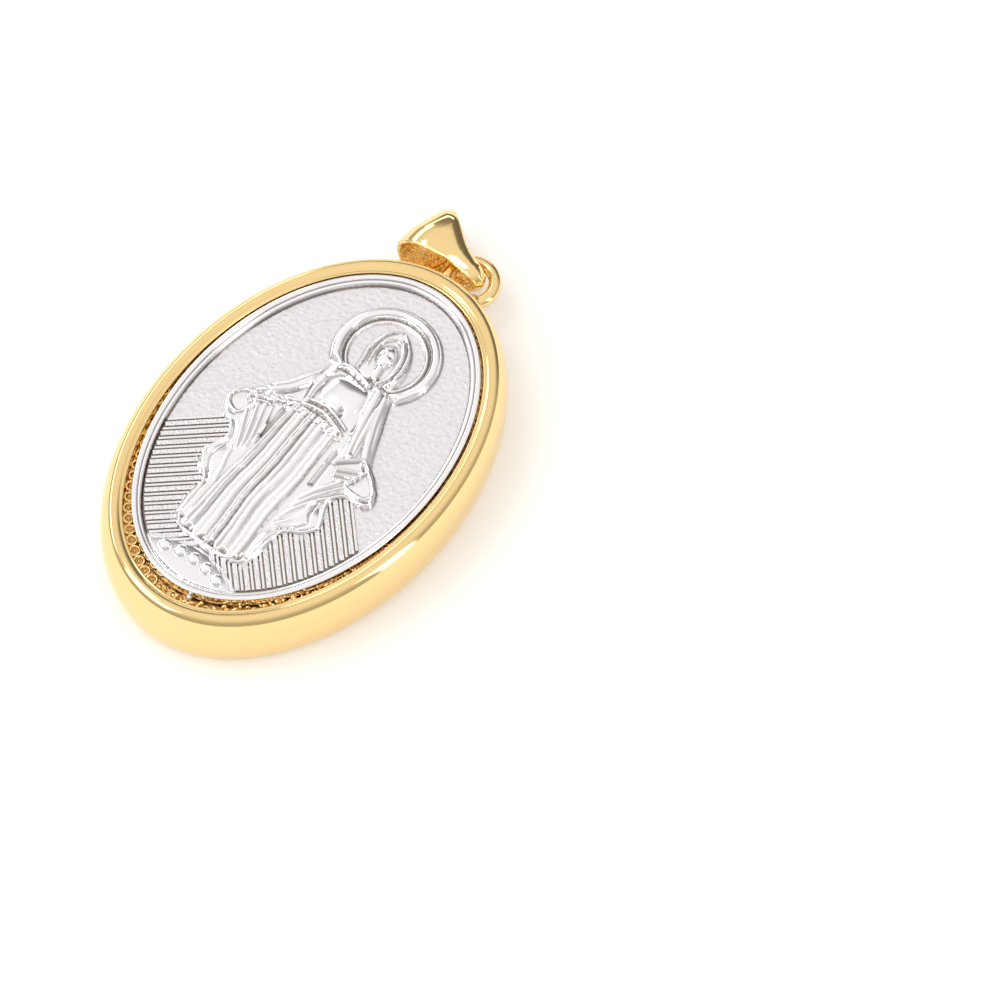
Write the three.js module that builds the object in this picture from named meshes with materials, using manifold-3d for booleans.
// Religious medal pendant, lying on its back. Millimetres, +Z up, +Y towards the ring.
// An oval gold frame carries two struck silver plates back to back, and a soldered ring
// at its head holds a loose teardrop bail.

import * as THREE from "three";
import { ParametricGeometry } from "three/addons/geometries/ParametricGeometry.js";
import { mergeVertices } from "three/addons/utils/BufferGeometryUtils.js";
import Module from "manifold-3d";

const wasm = await Module();
wasm.setup();

// Silver plates
const PLATE_LENGTH = 30.0;
const PLATE_WIDTH = 20.0;
const PLATE_THICK = 0.9;
const RIM_WIDTH = 1.1;
const FIELD_DEPTH = 0.5;

// Gold frame: clear space round the plates, band, ledge under the plates, pits
const SIDE_GAP = 0.2;
const HEAD_GAP = 0.4;
const FOOT_GAP = 0.95;
const BAND_WIDTH = 1.65;
const FRAME_THICK = 5.4;
const LAND_WIDTH = 0.25;
const EDGE_ROUND = 0.15;
const LEDGE_WIDTH = 2.6;
const SEAT_GAP = 0.2;
const PIT_PITCH = 1.1;
const PIT_RADIUS = 0.4;
const PIT_DEPTH = 0.35;

// Ring soldered to the head of the frame
const RING_DIAMETER = 4.4;
const RING_WIRE = 0.95;
const RING_STAND = 1.15;
const SOLDER_SIZE = 0.7;

// Bail: a closed band, narrow at its tip, turned aside and drooping to the surface
const BAIL_LENGTH = 7.1;
const BAIL_WIDTH = 4.8;
const BAIL_TIP_WIDTH = 1.1;
const BAIL_DEPTH = 4.3;
const BAIL_TIP_DEPTH = 2.5;
const BAIL_WALL = 0.62;
const BAIL_EDGE = 0.32;
const BAIL_TURN_DEG = 79;
const BAIL_DROOP_DEG = 9.5;
const BAIL_ROLL_DEG = 6;
const BAIL_ASIDE = 0.3;
const BAIL_TIP_CLEARANCE = 0.32;

// Heights of the cast relief above the plates' fields
const RAY_HEIGHT = 0.24;
const MANTLE_HEIGHT = 0.45;
const FOLD_HEIGHT = 0.62;
const SKIRT_HEIGHT = 0.6;
const PLEAT_HEIGHT = 0.8;
const ARM_HEIGHT = 0.75;
const BODY_HEIGHT = 0.9;
const VEIL_HEIGHT = 0.72;
const FACE_HEIGHT = 0.92;
const HALO_HEIGHT = 0.42;
const GLOBE_HEIGHT = 0.46;
const PEARL_HEIGHT = 0.6;
const BAR_HEIGHT = 0.44;
const PANEL_DEPTH = 0.12;
const HEART_HEIGHT = 0.45;
const TRIM_HEIGHT = 0.4;
const STAR_HEIGHT = 0.42;
const EDGE_BEVEL = 0.14;

// Rays and pleats
const RAY_PITCH = 0.75;
const RAY_WIDTH = 0.6;
const RAY_COUNT = 14;
const RAY_ANGLE_DEG = 43;
const PLEAT_COUNT = 7;
const PLEAT_WIDTH = 0.5;

// How finely round forms are faceted
const OVAL_STEPS = 64;
const DOME_STEPS = 12;
const SINK = 0.3;

const PLATE_X = PLATE_WIDTH / 2;
const PLATE_Y = PLATE_LENGTH / 2;
const PLATE_BACK = FIELD_DEPTH - PLATE_THICK;
const WALL_X = PLATE_X + SIDE_GAP;
const WALL_Y = PLATE_Y + (HEAD_GAP + FOOT_GAP) / 2;
const WALL_SHIFT = (HEAD_GAP - FOOT_GAP) / 2;
const HALF_THICK = FRAME_THICK / 2;
const LEDGE_TOP = HALF_THICK - PLATE_THICK - SEAT_GAP;
const RING_CENTRE = PLATE_Y + HEAD_GAP + BAND_WIDTH + RING_STAND;
const RING_RADIUS = (RING_DIAMETER - RING_WIRE) / 2;

const goldPolished = new THREE.MeshStandardMaterial({
  name: "polished_gold", color: 0xe6c66c, roughness: 0.18, metalness: 1 });
const silverFront = new THREE.MeshStandardMaterial({
  name: "struck_silver", color: 0xe4e2e8, roughness: 0.32, metalness: 1 });
const silverBack = new THREE.MeshStandardMaterial({
  name: "brushed_silver", color: 0xdbd8dc, roughness: 0.38, metalness: 1 });
const goldBail = new THREE.MeshStandardMaterial({
  name: "cast_gold", color: 0xe8c873, roughness: 0.22, metalness: 1 });

// Solids and meshes

// A closed three.js geometry as a solid: seams merged, flat slivers dropped, faces outwards.
function solid(geometry) {
  geometry.deleteAttribute("normal");
  geometry.deleteAttribute("uv");
  const merged = mergeVertices(geometry, 1e-5);
  const position = merged.getAttribute("position");
  const corners = merged.getIndex().array;
  const kept = [];
  let volume = 0;
  for (let i = 0; i < corners.length; i += 3) {
    const [a, b, c] = corners.slice(i, i + 3);
    if (a === b || b === c || c === a) continue;
    kept.push([a, b, c]);
    const [pa, pb, pc] = [a, b, c].map((k) => new THREE.Vector3().fromBufferAttribute(position, k));
    volume += pa.dot(pb.cross(pc));
  }
  const faces = volume < 0 ? kept.map(([a, b, c]) => [a, c, b]) : kept;
  return new wasm.Manifold(new wasm.Mesh({
    numProp: 3,
    vertProperties: Float32Array.from(position.array),
    triVerts: Uint32Array.from(faces.flat()),
  }));
}

function joined(solids) {
  return wasm.Manifold.union(solids);
}

function namedMesh(name, body, material) {
  const result = body.getMesh();
  const geometry = new THREE.BufferGeometry();
  geometry.setAttribute("position", new THREE.BufferAttribute(result.vertProperties, 3));
  geometry.setIndex(new THREE.BufferAttribute(result.triVerts, 1));
  geometry.computeVertexNormals();
  const mesh = new THREE.Mesh(geometry, material);
  mesh.name = name;
  return mesh;
}

// A skin over rows of points. Each row is a closed loop; the rows run from first to last,
// and round again to the first where `wraps` is set.
function skin(rows, wraps = false) {
  const around = rows[0].length;
  const along = wraps ? rows.length : rows.length - 1;
  const point = (u, v, target) => {
    const row = rows[Math.round(v * along) % rows.length];
    target.copy(row[Math.round(u * around) % around]);
  };
  return solid(new ParametricGeometry(point, around, along));
}

// The same skin with both ends closed by a fan to the middle of the end row.
function capped(rows) {
  const middle = (row) => {
    const sum = row.reduce((total, p) => total.add(p), new THREE.Vector3());
    return row.map(() => sum.clone().divideScalar(row.length));
  };
  return skin([middle(rows[0]), ...rows, middle(rows[rows.length - 1])].map((row, i, all) => (
    i === 0 ? middle(all[1]) : row)));
}

// Ovals

// A point on an oval with half-axes rx and ry, moved outwards by `offset` along its normal.
function ovalPoint(rx, ry, angle, offset) {
  const normal = new THREE.Vector2(ry * Math.cos(angle), rx * Math.sin(angle)).normalize();
  return new THREE.Vector2(rx * Math.cos(angle), ry * Math.sin(angle)).addScaledVector(normal, offset);
}

// A closed section swept round an oval. Section rows are {out, up}.
function ovalSweep(rx, ry, shift, section) {
  const rows = Array.from({ length: OVAL_STEPS }, (_, k) => {
    const angle = (2 * Math.PI * k) / OVAL_STEPS;
    return section.map(({ out, up }) => {
      const p = ovalPoint(rx, ry, angle, out);
      return new THREE.Vector3(p.x, p.y + shift, up);
    });
  });
  return skin(rows, true);
}

// An oval disc whose outline is the profile, from its middle below to its middle above.
function ovalDisc(rx, ry, profile) {
  const ring = ({ inset, up }) => Array.from({ length: OVAL_STEPS }, (_, k) => {
    const p = ovalPoint(rx, ry, (2 * Math.PI * k) / OVAL_STEPS, -inset);
    return new THREE.Vector3(p.x, p.y, up);
  });
  return capped(profile.map(ring));
}

// Relief motifs, in a plate's own frame: z = 0 is the field

// A place on a plate, as shares of its half width and half length.
function at(across, up) {
  return new THREE.Vector2(across * PLATE_X, up * PLATE_Y);
}

function mirrored(points) {
  return points.map((p) => new THREE.Vector2(-p.x, p.y));
}

function rounded(points, steps) {
  return new THREE.SplineCurve(points).getPoints(steps);
}

// A flat-topped form with a bevelled edge.
function slab(outline, height, bevel = EDGE_BEVEL) {
  const geometry = new THREE.ExtrudeGeometry(new THREE.Shape(outline), {
    depth: height + SINK - bevel,
    bevelEnabled: true,
    bevelThickness: bevel,
    bevelSize: bevel,
    bevelOffset: -bevel,
    bevelSegments: 1,
  });
  geometry.translate(0, 0, -SINK);
  return solid(geometry);
}

// A low rounded form.
function dome(centre, halfWidth, halfLength, height, steps = DOME_STEPS) {
  const geometry = new THREE.SphereGeometry(1, steps, Math.round(steps * 0.6));
  geometry.rotateX(Math.PI / 2);
  geometry.scale(halfWidth, halfLength, height);
  geometry.translate(centre.x, centre.y, 0);
  return solid(geometry);
}

// A ridge along a path, with sloping sides, a narrow flat crest and blunt ends.
function ridge(path, width, height, crest = 0.35, tip = 0.6) {
  const rows = path.map((p, i) => {
    const before = path[Math.max(i - 1, 0)];
    const after = path[Math.min(i + 1, path.length - 1)];
    const along = after.clone().sub(before).normalize();
    const side = new THREE.Vector2(-along.y, along.x).multiplyScalar(width / 2);
    const atEnd = i === 0 || i === path.length - 1;
    const spread = atEnd ? tip : 1;
    const top = atEnd ? height * tip : height;
    return [[-1, -SINK], [-crest, top], [crest, top], [1, -SINK]].map(([share, up]) => (
      new THREE.Vector3(p.x + side.x * share * spread, p.y + side.y * share * spread, up)));
  });
  return capped(rows);
}

// A five-pointed star rising to one apex.
function star(centre, radius, height, pointsUp) {
  const points = 5;
  const geometry = new THREE.ConeGeometry(radius, height + SINK / 3, 2 * points);
  const position = geometry.getAttribute("position");
  const waist = 0.46;
  for (let i = 0; i < position.count; i += 1) {
    const step = Math.round((Math.atan2(position.getX(i), position.getZ(i)) * points) / Math.PI);
    const share = Math.abs(step) % 2 === 1 ? waist : 1;
    position.setX(i, position.getX(i) * share);
    position.setZ(i, position.getZ(i) * share);
  }
  geometry.rotateX(Math.PI / 2);
  geometry.rotateZ(pointsUp ? Math.PI : 0);
  geometry.translate(centre.x, centre.y, (height - SINK / 3) / 2);
  return solid(geometry);
}

// Blank plate: flat back, square edge, outer bead, groove and inner bead round the field.
function plateBlank() {
  const RIM_PROFILE = [
    { inset: 0.14, up: 0, back: true },
    { inset: 0, up: 0.15, back: true },
    { inset: 0, up: 0.7 },
    { inset: 0.12, up: 1 },
    { inset: 0.4, up: 1 },
    { inset: 0.54, up: 0.62 },
    { inset: 0.66, up: 0.86 },
    { inset: 0.84, up: 0.86 },
    { inset: 1, up: 0 },
  ];
  return ovalDisc(PLATE_X, PLATE_Y, RIM_PROFILE.map((row) => ({
    inset: row.inset * RIM_WIDTH,
    up: row.back ? PLATE_BACK + row.up * RIM_WIDTH : row.up * FIELD_DEPTH,
  })));
}

// What lies inside the rim's outer bead, to trim the relief that runs out to the rim.
function insideRim() {
  const outline = Array.from({ length: OVAL_STEPS }, (_, k) => (
    ovalPoint(PLATE_X, PLATE_Y, (2 * Math.PI * k) / OVAL_STEPS, -RIM_WIDTH / 2)));
  const geometry = new THREE.ExtrudeGeometry(new THREE.Shape(outline), {
    depth: 2 * PLATE_THICK, bevelEnabled: false });
  geometry.translate(0, 0, -SINK);
  return solid(geometry);
}

function plate(motifs) {
  return plateBlank().add(joined(motifs).intersect(insideRim()));
}

// Front: standing robed figure

const MANTLE_EDGE = [
  { across: 0.21, up: 0.43 }, { across: 0.27, up: 0.3 }, { across: 0.39, up: 0.16 },
  { across: 0.57, up: 0.06 }, { across: 0.67, up: -0.03 }, { across: 0.64, up: -0.12 },
  { across: 0.51, up: -0.15 }, { across: 0.465, up: -0.235 }, { across: 0.535, up: -0.335 },
  { across: 0.46, up: -0.44 }, { across: 0.355, up: -0.53 }, { across: 0.345, up: -0.66 },
  { across: 0.23, up: -0.765 },
];
const SKIRT_EDGE = [
  { across: 0.25, up: 0.12 }, { across: 0.23, up: -0.2 }, { across: 0.24, up: -0.55 },
  { across: 0.28, up: -0.755 },
];
const OUTER_FOLD = [
  { across: 0.54, up: -0.05 }, { across: 0.42, up: -0.17 }, { across: 0.39, up: -0.29 },
  { across: 0.45, up: -0.37 }, { across: 0.35, up: -0.47 }, { across: 0.3, up: -0.6 },
  { across: 0.29, up: -0.72 },
];
const INNER_FOLD = [
  { across: 0.3, up: 0.26 }, { across: 0.34, up: 0.08 }, { across: 0.33, up: -0.1 },
  { across: 0.29, up: -0.27 }, { across: 0.3, up: -0.42 },
];
const ARM = [
  { across: 0.2, up: 0.36 }, { across: 0.33, up: 0.2 }, { across: 0.47, up: 0.06 },
];
const HAND = [
  { across: 0.44, up: 0.05 }, { across: 0.54, up: 0 }, { across: 0.61, up: -0.06 },
];
const FIGURE_LEAN = 0.02;

function places(table) {
  return table.map(({ across, up }) => at(across, up));
}

// A motif of the right side and its mirror image, moved with the figure's axis.
function bothSides(table, make) {
  const lean = at(FIGURE_LEAN, 0);
  const right = places(table);
  return [right, mirrored(right)].map((points) => make(points.map((p) => p.clone().add(lean))));
}

function outlineOf(table, steps) {
  const lean = at(FIGURE_LEAN, 0);
  const right = rounded(places(table), steps);
  return [...right, ...mirrored(right).reverse()].map((p) => p.clone().add(lean));
}

function pleats() {
  const [waist, , , hem] = SKIRT_EDGE;
  return Array.from({ length: PLEAT_COUNT }, (_, k) => {
    const share = ((2 * k) / (PLEAT_COUNT - 1) - 1) * 0.84;
    const top = at(waist.across * share + FIGURE_LEAN, waist.up - 0.02);
    const foot = at(hem.across * share + FIGURE_LEAN, hem.up + 0.01);
    return ridge([top, top.clone().lerp(foot, 0.08), top.clone().lerp(foot, 0.95), foot],
      PLEAT_WIDTH, PLEAT_HEIGHT);
  });
}

// How far a point can go in a direction before it meets the plate's inner bead.
function reachRim(from, direction) {
  const rx = PLATE_X - RIM_WIDTH * 0.6;
  const ry = PLATE_Y - RIM_WIDTH * 0.6;
  const a = (direction.x / rx) ** 2 + (direction.y / ry) ** 2;
  const b = (from.x * direction.x) / rx ** 2 + (from.y * direction.y) / ry ** 2;
  const c = (from.x / rx) ** 2 + (from.y / ry) ** 2 - 1;
  return (Math.sqrt(b * b - a * c) - b) / a;
}

// Rays fall from under the open hands to the rim on both sides.
function rays() {
  const angle = THREE.MathUtils.degToRad(RAY_ANGLE_DEG);
  const all = [];
  for (const side of [-1, 1]) {
    const direction = new THREE.Vector2(side * Math.cos(angle), -Math.sin(angle));
    const step = new THREE.Vector2(-side * Math.sin(angle), -Math.cos(angle)).multiplyScalar(RAY_PITCH);
    const first = at(side * 0.5 + FIGURE_LEAN, -0.125);
    for (let k = 0; k < RAY_COUNT; k += 1) {
      const start = first.clone().addScaledVector(step, k);
      const end = start.clone().addScaledVector(direction, reachRim(start, direction));
      all.push(ridge([start, end], RAY_WIDTH, RAY_HEIGHT, 0.3, 1));
    }
  }
  return all;
}

// Halo behind the head: a flat raised ring, open at the shoulders.
function halo() {
  const centre = at(0.01, 0.577);
  const middleRadius = PLATE_X * 0.345;
  const steps = 24;
  const path = Array.from({ length: steps + 1 }, (_, k) => {
    const angle = THREE.MathUtils.degToRad(-50 + (280 * k) / steps);
    return centre.clone().add(new THREE.Vector2(Math.cos(angle), Math.sin(angle))
      .multiplyScalar(middleRadius));
  });
  return ridge(path, PLATE_X * 0.12, HALO_HEIGHT, 0.7, 1);
}

// Veiled head with a plain oval face.
function head() {
  const centre = at(FIGURE_LEAN, 0.587);
  const nose = [centre.clone().add(at(0, 0.02)), centre.clone().add(at(0, -0.03))];
  return [
    dome(centre, PLATE_X * 0.185, PLATE_Y * 0.152, VEIL_HEIGHT),
    dome(centre.clone().add(at(0, -0.012)), PLATE_X * 0.11, PLATE_Y * 0.096, FACE_HEIGHT),
    dome(at(FIGURE_LEAN, 0.43), PLATE_X * 0.11, PLATE_Y * 0.07, VEIL_HEIGHT),
    ridge(nose, PLATE_X * 0.03, FACE_HEIGHT * 1.08),
  ];
}

function figure() {
  const belt = [at(-0.23 + FIGURE_LEAN, 0.11), at(FIGURE_LEAN, 0.14), at(0.23 + FIGURE_LEAN, 0.11)];
  return [
    slab(outlineOf(MANTLE_EDGE, 24), MANTLE_HEIGHT),
    slab(outlineOf(SKIRT_EDGE, 5), SKIRT_HEIGHT),
    ...pleats(),
    ...bothSides(OUTER_FOLD, (points) => ridge(rounded(points, 10), PLATE_X * 0.065, FOLD_HEIGHT)),
    ...bothSides(INNER_FOLD, (points) => ridge(rounded(points, 6), PLATE_X * 0.065, FOLD_HEIGHT)),
    ...bothSides(ARM, (points) => ridge(points, PLATE_X * 0.18, ARM_HEIGHT)),
    ...bothSides(HAND, (points) => ridge(points, PLATE_X * 0.09, FOLD_HEIGHT)),
    dome(at(FIGURE_LEAN, 0.28), PLATE_X * 0.2, PLATE_Y * 0.12, BODY_HEIGHT),
    ridge(belt, PLATE_X * 0.05, BODY_HEIGHT),
    ...head(),
  ];
}

// Polished globe under the feet, and a plain row of pearls over it.
function globe() {
  const pearls = [-2, -1, 0, 1, 2].map((k) => (
    dome(at(0.11 * k + FIGURE_LEAN, -0.84 - 0.006 * k * k), PLATE_X * 0.042, PLATE_X * 0.042,
      PEARL_HEIGHT, 8)));
  return [dome(at(FIGURE_LEAN, -0.965), PLATE_X * 0.53, PLATE_Y * 0.2, GLOBE_HEIGHT), ...pearls];
}

// Small pointed tab left on the plate's foot, standing in the gap to the frame.
function footTab() {
  const tab = [at(0.03, -0.97), at(0.03 + 0.07, -1).add(new THREE.Vector2(0, -FOOT_GAP * 0.6)),
    at(0.17, -1).add(new THREE.Vector2(0, -FOOT_GAP * 0.4)), at(0.22, -0.96)];
  const geometry = new THREE.ExtrudeGeometry(new THREE.Shape(tab), {
    depth: PLATE_THICK * 0.8, bevelEnabled: false });
  geometry.translate(0, 0, PLATE_BACK + PLATE_THICK * 0.1);
  return solid(geometry);
}

// Back: cross on a bar, interlaced lozenge, two hearts, twelve stars

const BAR_HALF = 0.055;

function crossOutline(inset) {
  const upright = PLATE_X * 0.11 - inset;
  const armHalf = PLATE_X * 0.37 - inset;
  const [top, armTop, armFoot, foot] = [0.785, 0.575, 0.43, 0.09].map((share) => share * PLATE_Y);
  const half = [
    [upright, foot + inset], [upright, armFoot + inset], [armHalf, armFoot + inset],
    [armHalf, armTop - inset], [upright, armTop - inset], [upright, top - inset],
  ].map(([x, y]) => new THREE.Vector2(x, y));
  return [...half, ...mirrored(half).reverse()];
}

function barOutline(inset) {
  const half = PLATE_X * 0.585 - inset;
  const [foot, top] = [0.01 * PLATE_Y + inset, 0.145 * PLATE_Y - inset];
  return [[-half, foot], [half, foot], [half, top], [-half, top]].map(([x, y]) => new THREE.Vector2(x, y));
}

// One raised member with a sunk panel inside its border.
function panelled(outline, height) {
  const floor = new THREE.ExtrudeGeometry(new THREE.Shape(outline(PLATE_X * BAR_HALF)), {
    depth: PLATE_THICK, bevelEnabled: false });
  floor.translate(0, 0, height - PANEL_DEPTH);
  return slab(outline(0), height).subtract(solid(floor));
}

// A lozenge band that passes over and under the bar.
function lozenge() {
  const corners = [at(0, 0.33), at(0.5, 0.03), at(0, -0.29), at(-0.5, 0.03)];
  return corners.map((corner, k) => {
    const next = corners[(k + 1) % corners.length];
    return ridge([corner, corner.clone().lerp(next, 0.06), corner.clone().lerp(next, 0.94), next],
      PLATE_X * 0.14, k % 2 === 0 ? BAR_HEIGHT : TRIM_HEIGHT, 0.7, 0.9);
  });
}

function heartOutline(centre, halfWidth, halfLength) {
  const shape = new THREE.Shape();
  shape.moveTo(0, -1);
  shape.bezierCurveTo(0.5, -0.5, 1.1, -0.1, 1, 0.45);
  shape.bezierCurveTo(0.92, 1, 0.22, 1.05, 0, 0.6);
  shape.bezierCurveTo(-0.22, 1.05, -0.92, 1, -1, 0.45);
  shape.bezierCurveTo(-1.1, -0.1, -0.5, -0.5, 0, -1);
  const points = shape.getPoints(5).slice(0, -1);
  return points.map((p) => new THREE.Vector2(centre.x + p.x * halfWidth, centre.y + p.y * halfLength));
}

function heart(side) {
  const centre = at(side * 0.265, -0.55);
  const flame = [-1, 0, 1].map((k) => {
    const root = centre.clone().add(at(0.05 * k, 0.1));
    const tip = centre.clone().add(at(0.03 * k, 0.24 - 0.05 * Math.abs(k)));
    return ridge([root, root.clone().lerp(tip, 0.5), tip], PLATE_X * 0.09, TRIM_HEIGHT, 0.2, 0.3);
  });
  return [slab(heartOutline(centre, PLATE_X * 0.18, PLATE_Y * 0.125), HEART_HEIGHT, EDGE_BEVEL * 2),
    ...flame];
}

// Band of thorns round the left heart.
function thorns() {
  const centre = at(-0.265, -0.55);
  const band = [[-0.21, 0.01], [-0.08, -0.035], [0.08, -0.03], [0.21, 0.02]];
  return ridge(band.map(([x, y]) => centre.clone().add(at(x, y))), PLATE_X * 0.07, HEART_HEIGHT * 1.1);
}

// Sword through the right heart: blade point below it, guard and pommel above.
function sword() {
  const pommel = at(0.6, -0.29);
  const point = at(0.1, -0.72);
  const heartSide = [0.62, 0.8].map((share) => pommel.clone().lerp(point, share));
  const guard = pommel.clone().lerp(point, 0.2);
  const across = point.clone().sub(pommel).normalize().rotateAround(new THREE.Vector2(), Math.PI / 2)
    .multiplyScalar(PLATE_X * 0.1);
  return [
    ridge([pommel, pommel.clone().lerp(point, 0.45)], PLATE_X * 0.06, TRIM_HEIGHT, 0.5, 1),
    ridge([heartSide[1], point], PLATE_X * 0.07, TRIM_HEIGHT, 0.5, 0.8),
    ridge([guard.clone().sub(across), guard.clone().add(across)], PLATE_X * 0.05, TRIM_HEIGHT, 0.5, 1),
    dome(pommel, PLATE_X * 0.045, PLATE_X * 0.045, TRIM_HEIGHT, 8),
  ];
}

// Twelve stars on an oval inside the rim. The upper six stand on their feet, the rest hang.
function stars() {
  const count = 12;
  return Array.from({ length: count }, (_, k) => {
    const angle = (2 * Math.PI * (k + 0.5)) / count;
    const centre = at(0.785 * Math.cos(angle), 0.81 * Math.sin(angle));
    return star(centre, PLATE_X * 0.125, STAR_HEIGHT, centre.y > 0);
  });
}

// Gold frame

// Band section, from the ledge's foot round the domed outside to the ledge's top.
function bandSection() {
  const domeSteps = 5;
  const half = [{ out: -LEDGE_WIDTH, up: LEDGE_TOP }, { out: 0, up: LEDGE_TOP },
    { out: 0, up: HALF_THICK - EDGE_ROUND }, { out: EDGE_ROUND, up: HALF_THICK }];
  const land = EDGE_ROUND + LAND_WIDTH;
  for (let k = 0; k < domeSteps; k += 1) {
    const turn = (Math.PI / 2) * (k / domeSteps);
    half.push({ out: land + (BAND_WIDTH - land) * Math.sin(turn), up: HALF_THICK * Math.cos(turn) });
  }
  const lower = half.map(({ out, up }) => ({ out, up: -up })).reverse();
  return [...half, { out: BAND_WIDTH, up: 0 }, ...lower];
}

// Round pits along the foot of the ledge, on its front and back, where the gap shows them.
function pits() {
  const rowOut = -PIT_RADIUS - 0.1;
  const arc = new THREE.EllipseCurve(0, WALL_SHIFT, WALL_X + rowOut, WALL_Y + rowOut, Math.PI, 2 * Math.PI);
  const count = Math.floor(arc.getLength() / PIT_PITCH);
  const all = [];
  for (const side of [1, -1]) {
    for (const p of arc.getSpacedPoints(count)) {
      const cone = new THREE.ConeGeometry(PIT_RADIUS, 2 * PIT_DEPTH, 6);
      cone.translate(0, -PIT_DEPTH, 0);
      cone.rotateX(-Math.PI / 2);
      cone.translate(0, 0, PIT_DEPTH * -1);
      if (side < 0) cone.rotateX(Math.PI);
      cone.translate(p.x, p.y, side * LEDGE_TOP);
      all.push(solid(cone));
    }
  }
  return joined(all);
}

function ring() {
  const wire = new THREE.TorusGeometry(RING_RADIUS, RING_WIRE / 2, 8, 24);
  wire.translate(0, RING_CENTRE, 0);
  const solder = [-1, 1].map((side) => {
    const blob = new THREE.SphereGeometry(SOLDER_SIZE, 10, 8);
    blob.scale(1, 0.8, 0.8);
    blob.translate(side * RING_RADIUS * 0.72, RING_CENTRE - RING_STAND + SOLDER_SIZE * 0.1, 0);
    return solid(blob);
  });
  return joined([solid(wire), ...solder]);
}

function frame() {
  const band = ovalSweep(WALL_X, WALL_Y, WALL_SHIFT, bandSection());
  return band.subtract(pits()).add(ring());
}

// Bail

// Stations round the closed band, on its inner face, tip at the origin and fold along +Y.
// Each has its place {y, z}, its outward direction, and how far along the bail it lies.
function bailStations() {
  const tip = BAIL_TIP_DEPTH / 2 - BAIL_WALL;
  const fold = BAIL_DEPTH / 2 - BAIL_WALL;
  const tipCentre = BAIL_WALL + tip;
  const foldCentre = BAIL_LENGTH - BAIL_WALL - fold;
  const lean = Math.asin((fold - tip) / (foldCentre - tipCentre));
  const onArc = (centre, radius, turn) => ({
    y: centre - radius * Math.sin(turn), z: radius * Math.cos(turn),
    outY: -Math.sin(turn), outZ: Math.cos(turn) });
  const between = (a, b, share) => ({
    y: a.y + (b.y - a.y) * share, z: a.z + (b.z - a.z) * share, outY: a.outY, outZ: a.outZ });
  const tipTurns = [0, 0.25, 0.5, 0.75, 1].map((share) => lean + share * (Math.PI - 2 * lean));
  const tipArc = tipTurns.map((turn) => onArc(tipCentre, tip, turn));
  const foldTurns = [0, 0.2, 0.4, 0.6, 0.8, 1].map((share) => (
    Math.PI - lean + share * (Math.PI + 2 * lean)));
  const foldArc = foldTurns.map((turn) => onArc(foldCentre, fold, turn));
  const panelShares = [0.25, 0.5, 0.75];
  const lower = panelShares.map((share) => between(tipArc[4], foldArc[0], share));
  const upper = panelShares.map((share) => between(foldArc[5], tipArc[0], share));
  return [...tipArc, ...lower, ...foldArc, ...upper];
}

// Half width of the band, and of the flat facet on it, along the bail.
const BAIL_SHAPE = [
  { along: 0, width: 0, facet: 0.04 },
  { along: 0.4, width: 0.2, facet: 0.06 },
  { along: 0.85, width: 1, facet: 0.66 },
  { along: 1, width: 1, facet: 0.66 },
];

function bailShapeAt(share) {
  const k = Math.max(1, BAIL_SHAPE.findIndex((row) => row.along >= share));
  const [low, high] = [BAIL_SHAPE[k - 1], BAIL_SHAPE[k]];
  const mix = Math.min(1, Math.max(0, (share - low.along) / (high.along - low.along)));
  const half = THREE.MathUtils.lerp(low.width, high.width, mix);
  return {
    half: (BAIL_TIP_WIDTH + (BAIL_WIDTH - BAIL_TIP_WIDTH) * half) / 2,
    facet: (THREE.MathUtils.lerp(low.facet, high.facet, mix) * BAIL_WIDTH) / 2,
  };
}

function bail() {
  const rows = bailStations().map(({ y, z, outY, outZ }) => {
    const { half, facet } = bailShapeAt(y / BAIL_LENGTH);
    const section = [[-half, 0], [half, 0], [half, BAIL_EDGE], [facet, BAIL_WALL],
      [-facet, BAIL_WALL], [-half, BAIL_EDGE]];
    return section.map(([x, thick]) => new THREE.Vector3(x, y + outY * thick, z + outZ * thick));
  });
  return skin(rows, true);
}

// Assembly

const pendant = new THREE.Group();

const frameMesh = namedMesh("frame", frame(), goldPolished);

const frontMesh = namedMesh("front_plate",
  plate([...figure(), ...rays(), halo(), ...globe()]).add(footTab()), silverFront);
frontMesh.position.z = HALF_THICK - FIELD_DEPTH;

const backMesh = namedMesh("back_plate",
  plate([panelled(crossOutline, BAR_HEIGHT), panelled(barOutline, BAR_HEIGHT), ...lozenge(),
    ...heart(-1), ...heart(1), thorns(), ...sword(), ...stars()]), silverBack);
backMesh.position.z = FIELD_DEPTH - HALF_THICK;
backMesh.rotation.y = Math.PI;

// The bail hooks round the ring's left side, its tip through the ring's hole. It droops and
// rolls a little, so that its fold rests on the surface that the frame lies on.
const bailMesh = namedMesh("bail", bail(), goldBail);
bailMesh.rotation.x = -THREE.MathUtils.degToRad(BAIL_DROOP_DEG);
bailMesh.rotation.y = THREE.MathUtils.degToRad(BAIL_ROLL_DEG);
bailMesh.position.x = BAIL_ASIDE;
bailMesh.position.y = BAIL_TIP_CLEARANCE - (RING_RADIUS - RING_WIRE / 2);
bailMesh.position.z = -HALF_THICK - new THREE.Box3().setFromObject(bailMesh, true).min.z;
const bailTurn = new THREE.Group();
bailTurn.position.y = RING_CENTRE;
bailTurn.rotation.z = THREE.MathUtils.degToRad(BAIL_TURN_DEG);
bailTurn.add(bailMesh);

pendant.add(frameMesh, frontMesh, backMesh, bailTurn);

// The origin is the middle of the whole pendant's footprint, on the surface it lies on.
pendant.updateMatrixWorld(true);
const box = new THREE.Box3().setFromObject(pendant, true);
const middle = box.getCenter(new THREE.Vector3());
pendant.position.set(-middle.x, -middle.y, -box.min.z);

export default pendant;
